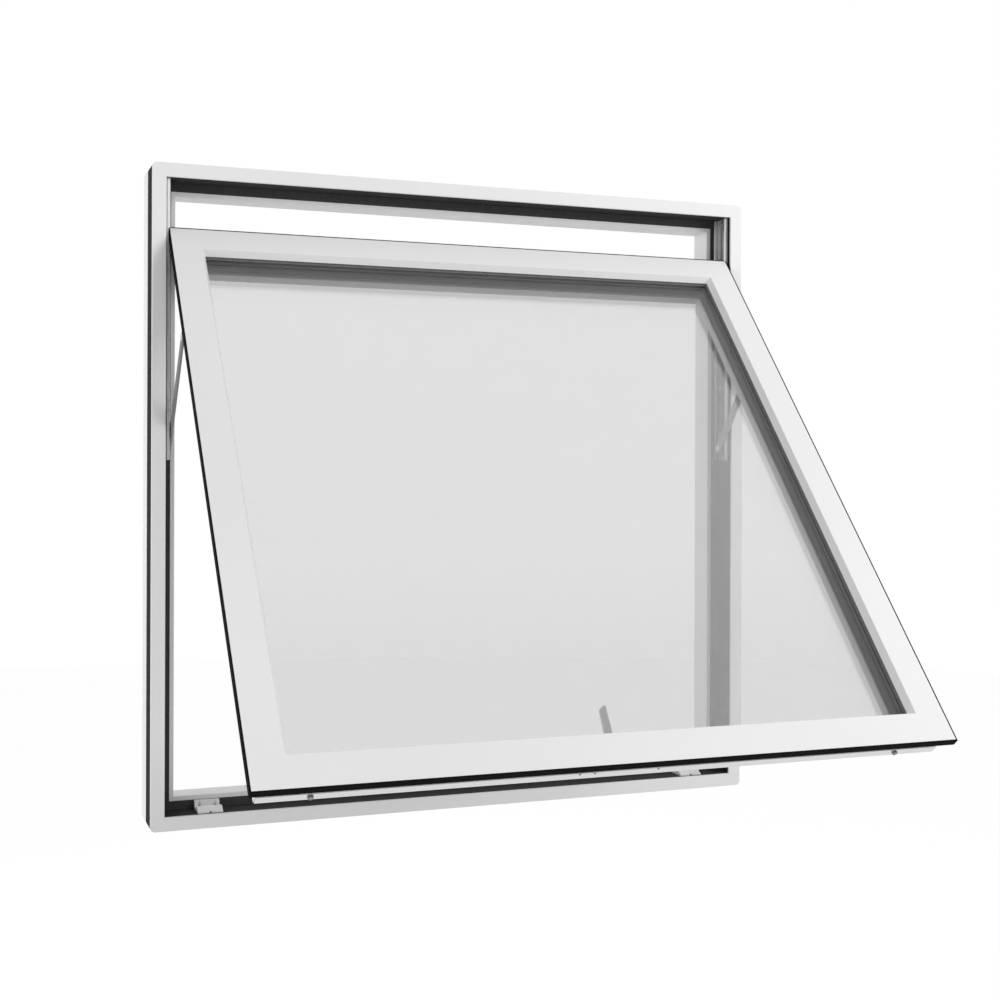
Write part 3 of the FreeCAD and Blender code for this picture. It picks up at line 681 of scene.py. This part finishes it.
def track_hems(finishes):
    """The rolled hems that stand above both flanges of each track, in a lighter steel that paints a
    highlight along them.
    """
    shape = bmesh.new()
    for side, sign in SIDES.items():
        low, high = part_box(f"stay_{side}_track")
        for middle in (low.y + FLANGE_MIDDLE, high.y - FLANGE_MIDDLE):
            profile = []
            for step, out in in_metres(HEM):
                profile.append((sign * (HALF_FRAME - FLANGE_RIM - out), middle + step))
            add_bar(shape, profile, low.z, high.z)
    make_piece("stay_track_hems", shape, finishes["hem_steel"])


# Fastening

KEEPER_HOLE_DEPTH = 32.5 * MM
KEEPER_HOLE_SHIFT = 12 * MM
KEEPER_SCREW_RISE = 4.2 * MM
KEEPER_SCREW_RADIUS = 2.1 * MM
NOTCH_SCREW_DEPTH = 0.4 * MM
NOTCH_SCREW_CROSS = 0.9 * MM
# Radius and height pairs of the screw in a keeper's notch, in millimetres
NOTCH_SCREW = ((1.7, 0), (1.7, 2.1), (1.4, 2.4))


def keeper_screws(finishes):
    """Two screws in each keeper and a small one in the notch of its front edge."""
    shape = bmesh.new()
    for side in SIDES:
        low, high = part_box(f"keeper_{side}")
        middle = (low.x + high.x) / 2
        for shift in (-KEEPER_HOLE_SHIFT, KEEPER_HOLE_SHIFT):
            spot = Vector((middle + shift, low.y + KEEPER_HOLE_DEPTH, low.z + KEEPER_SCREW_RISE))
            flat_screw(shape, facing(spot, UPRIGHT), KEEPER_SCREW_RADIUS)
        notch = facing(Vector((middle, low.y + NOTCH_SCREW_DEPTH, low.z)), UPRIGHT)
        add_turned(shape, notch, in_metres(NOTCH_SCREW), NOTCH_SCREW_CROSS)
    make_piece("keeper_screws", shape, finishes["dark_steel"])


RAIL_UNDERSIDE = 7.5 * MM
RAIL_DEPTH = 36.5 * MM
GUIDE_SCREWS = (-62 * MM, -42 * MM, 45 * MM)
GUIDE_SCREW = {"radius": 1.6 * MM, "rise": 0.7 * MM, "cross": 0.8 * MM}
GUIDE_SCREW_SHIFT = 4.2 * MM
CAM_PLACE = 398 * MM
CAM_CROSS = 1.8 * MM
# Radius and height pairs of a cam's sleeve, in millimetres
CAM_SLEEVE = ((4.0, -0.2), (4.0, 0.5), (3.5, 0.7), (3.5, 2.25), (3.1, 2.75))


def lock_cams(finishes):
    """Guide screws along the lock rail and the sleeves of its cams."""
    shape = bmesh.new()
    for x in GUIDE_SCREWS:
        spot = SASH @ Vector((x, RAIL_DEPTH - GUIDE_SCREW_SHIFT, RAIL_UNDERSIDE))
        round_head(shape, facing(spot, -SASH_UP_AXIS), **GUIDE_SCREW)
    for x in (-CAM_PLACE, CAM_PLACE):
        spot = SASH @ Vector((x, RAIL_DEPTH, RAIL_UNDERSIDE))
        add_turned(shape, facing(spot, -SASH_UP_AXIS), in_metres(CAM_SLEEVE), CAM_CROSS)
    make_piece("lock_cams", shape, finishes["dark_steel"])


HANDLE_PLACE = 15.7 * MM
HANDLE_RISE = 41.5 * MM
HANDLE_BASE_FACE = 74 * MM
LEVER_FACE = 95 * MM
BASE_CAP_SHIFT = 20 * MM
BASE_CAP = {"radius": 3.8 * MM, "rise": 0.9 * MM, "cross": 1.9 * MM}
PIVOT_CAP = {"radius": 3.4 * MM, "rise": 0.8 * MM}
# Radius and height pairs of the neck's collar, in millimetres
COLLAR = ((7.4, -0.3), (7.4, 1.2), (6.8, 2.0), (5.6, 2.2))


def on_handle(shift, depth):
    """A place on the handle that looks into the room."""
    return facing(SASH @ Vector((HANDLE_PLACE + shift, depth, HANDLE_RISE)), SASH_DEPTH_AXIS)


def handle_caps(finishes):
    """Collar at the foot of the neck, screw caps in the base and the cap over the lever's pivot."""
    shape = bmesh.new()
    add_turned(shape, on_handle(0, HANDLE_BASE_FACE), in_metres(COLLAR))
    for shift in (-BASE_CAP_SHIFT, BASE_CAP_SHIFT):
        round_head(shape, on_handle(shift, HANDLE_BASE_FACE), **BASE_CAP)
    round_head(shape, on_handle(0, LEVER_FACE), **PIVOT_CAP)
    make_piece("handle_caps", shape, finishes["handle"])


# Seals

FRAME_SEAL_FACE = 47 * MM
FRAME_SEAL_RIBS = (28 * MM, 30.6 * MM, 33.2 * MM)
RIB_RADIUS = 0.42 * MM
RIB_STEPS = 4
# Round the sash seal's fin, in millimetres: insets from the sash's edge and depths in the sash
FIN = ((3.6, 10.6), (2.2, 11.6), (1.2, 12.9), (0.9, 14.2),
       (1.6, 14.2), (2.0, 13.2), (2.9, 12.2), (4.4, 11.6), (4.4, 10.6))
# Round a glazing gasket's lip, in millimetres: steps in from the sightline and away from the pane
GLAZING_LIP = ((-0.5, 0), (1.1, 0), (1.3, 0.5), (0.9, 1.2), (0, 2.2), (-0.5, 2.6))


def seal_ribs(finishes):
    """Fine ribs along the face of the frame's seal."""
    shape = bmesh.new()
    place = Matrix.Translation((0, -FRAME_DEPTH / 2, 0))
    for inset in FRAME_SEAL_RIBS:
        profile = []
        for step in range(RIB_STEPS + 1):
            turn = FULL_TURN / 2 * step / RIB_STEPS
            across = inset - RIB_RADIUS * math.cos(turn)
            profile.append((across, FRAME_SEAL_FACE - RIB_RADIUS * math.sin(turn)))
        add_sweep(shape, place, FRAME_SIZE, FRAME_SIZE, profile)
    make_piece("frame_seal_ribs", shape, finishes["frame_rubber"])


def sash_fin(finishes):
    """The soft fin that leans back from the sash's edge seal into the groove."""
    shape = bmesh.new()
    add_sweep(shape, SASH, SASH_WIDTH, SASH_HEIGHT, in_metres(FIN))
    make_piece("sash_seal_fin", shape, finishes["rubber"])


def glazing_lips(finishes):
    """Rounded lips of the two glazing gaskets, pressed against the panes."""
    shape = bmesh.new()
    for face, away in ((OUTER_GLASS_FACE, -1), (INNER_GLASS_FACE, 1)):
        profile = [(SIGHTLINE + step, face + away * rise) for step, rise in in_metres(GLAZING_LIP)]
        add_sweep(shape, SASH, SASH_WIDTH, SASH_HEIGHT, profile)
    make_piece("glazing_lips", shape, finishes["gasket"])


# Stage, light and camera

FLOOR_HEIGHT = -0.9
FLOOR_RADIUS = 9.0
FLOOR_CORNERS = 64
FLOOR_GREY = 0.8
FLOOR_ROUGHNESS = 0.9
FLOOR_GLOW = 1.08
# Share of the glow in what is seen of the floor, with the shaded floor as the rest
FLOOR_GLOW_SHARE = 0.85
AMBIENT = 0.52
# Diffuse bounces are counted in whole numbers, so a ray below this has had none
FIRST_BOUNCE = 0.5


def combine(tree, operation, first, second):
    """The result of a math node on two sockets."""
    made = tree.nodes.new("ShaderNodeMath")
    made.operation = operation
    tree.links.new(first, made.inputs[0])
    tree.links.new(second, made.inputs[1])
    return made.outputs[0]


def seen_directly(tree):
    """1 for rays from the camera, off a mirror or through glass, and 0 for those that light things."""
    path = tree.nodes.new("ShaderNodeLightPath")
    seen = path.outputs["Is Camera Ray"]
    for name in ("Is Glossy Ray", "Is Transmission Ray"):
        seen = combine(tree, "MAXIMUM", seen, path.outputs[name])
    unspread = tree.nodes.new("ShaderNodeMath")
    unspread.operation = "LESS_THAN"
    unspread.inputs[1].default_value = FIRST_BOUNCE
    tree.links.new(path.outputs["Diffuse Depth"], unspread.inputs[0])
    return combine(tree, "MULTIPLY", seen, unspread.outputs[0])


def white_floor():
    """White that takes shadows, and glows where it is seen."""
    made = Material("white_floor")
    made.set(Base_Color=(FLOOR_GREY, FLOOR_GREY, FLOOR_GREY, 1), Roughness=FLOOR_ROUGHNESS)
    glow = made.node("ShaderNodeEmission")
    glow.inputs["Strength"].default_value = FLOOR_GLOW
    share = made.node("ShaderNodeMath", operation="MULTIPLY")
    share.inputs[1].default_value = FLOOR_GLOW_SHARE
    made.link(seen_directly(made.tree), share.inputs[0])
    made.mix_in(glow.outputs["Emission"], share.outputs[0])
    return made.block


def make_floor():
    """A round white floor, sill height below the window. It takes the window's soft shadow."""
    mesh = bpy.data.meshes.new("floor")
    shape = bmesh.new()
    bmesh.ops.create_circle(shape, cap_ends=True, radius=FLOOR_RADIUS, segments=FLOOR_CORNERS)
    shape.to_mesh(mesh)
    shape.free()
    mesh.materials.append(white_floor())
    floor = bpy.data.objects.new("floor", mesh)
    floor.location.z = FLOOR_HEIGHT
    bpy.context.scene.collection.objects.link(floor)


def make_world():
    """White surroundings: full white where they are seen, dimmer as the light that they give."""
    world = bpy.data.worlds.new("studio")
    world.use_nodes = True
    tree = world.node_tree
    background = tree.nodes["Background"]
    background.inputs["Color"].default_value = (1, 1, 1, 1)
    strength = tree.nodes.new("ShaderNodeMapRange")
    strength.inputs["To Min"].default_value = AMBIENT
    strength.inputs["To Max"].default_value = 1.0
    tree.links.new(seen_directly(tree), strength.inputs["Value"])
    tree.links.new(strength.outputs["Result"], background.inputs["Strength"])
    bpy.context.scene.world = world


LAMP_TARGET = Vector((0, -0.2, 0.5))
# Name, place, size in metres and power in watts of each lamp
LAMPS = (
    ("key", (2.4, -2.4, 1.7), 2.4, 77),
    ("left", (-3.2, -1.0, 0.7), 1.5, 33),
    ("room", (-1.0, 3.0, 1.2), 1.6, 33),
)


def make_lamp(name, place, size, power):
    """A square lamp turned to the window, not seen in mirrors or through glass."""
    lamp = bpy.data.lights.new(name, "AREA")
    lamp.shape = "SQUARE"
    lamp.size = size
    lamp.energy = power
    holder = bpy.data.objects.new(name, lamp)
    holder.location = place
    holder.rotation_euler = (LAMP_TARGET - Vector(place)).to_track_quat("-Z", "Y").to_euler()
    holder.visible_glossy = False
    holder.visible_transmission = False
    bpy.context.scene.collection.objects.link(holder)


CAMERA_PLACE = (-0.8013, -2.29675, 0.5403)
# Degrees from straight down to the level view, and the view's roll and turn to the right
CAMERA_PITCH = 90
CAMERA_ROLL = 0.1938
CAMERA_YAW = 20.8418
CAMERA_LENS = 53.461
SENSOR_WIDTH = 36.0
CAMERA_SHIFT_Y = -0.02882


def make_camera():
    """The photograph's view: level, turned to the right, with the horizon above mid picture."""
    data = bpy.data.cameras.new("camera")
    data.lens = CAMERA_LENS
    data.sensor_width = SENSOR_WIDTH
    data.shift_y = CAMERA_SHIFT_Y
    camera = bpy.data.objects.new("camera", data)
    camera.location = CAMERA_PLACE
    turns = (CAMERA_PITCH, -CAMERA_ROLL, -CAMERA_YAW)
    camera.rotation_euler = [math.radians(turn) for turn in turns]
    bpy.context.scene.collection.objects.link(camera)
    bpy.context.scene.camera = camera


finishes = make_finishes()
dress_frame_and_sash(finishes)
dress_hardware(finishes)
stay_rivets(finishes)
stay_screws(finishes)
track_hems(finishes)
keeper_screws(finishes)
lock_cams(finishes)
handle_caps(finishes)
seal_ribs(finishes)
sash_fin(finishes)
glazing_lips(finishes)
make_floor()
make_world()
for lamp in LAMPS:
    make_lamp(*lamp)
make_camera()
bpy.context.scene.view_settings.view_transform = "Standard"
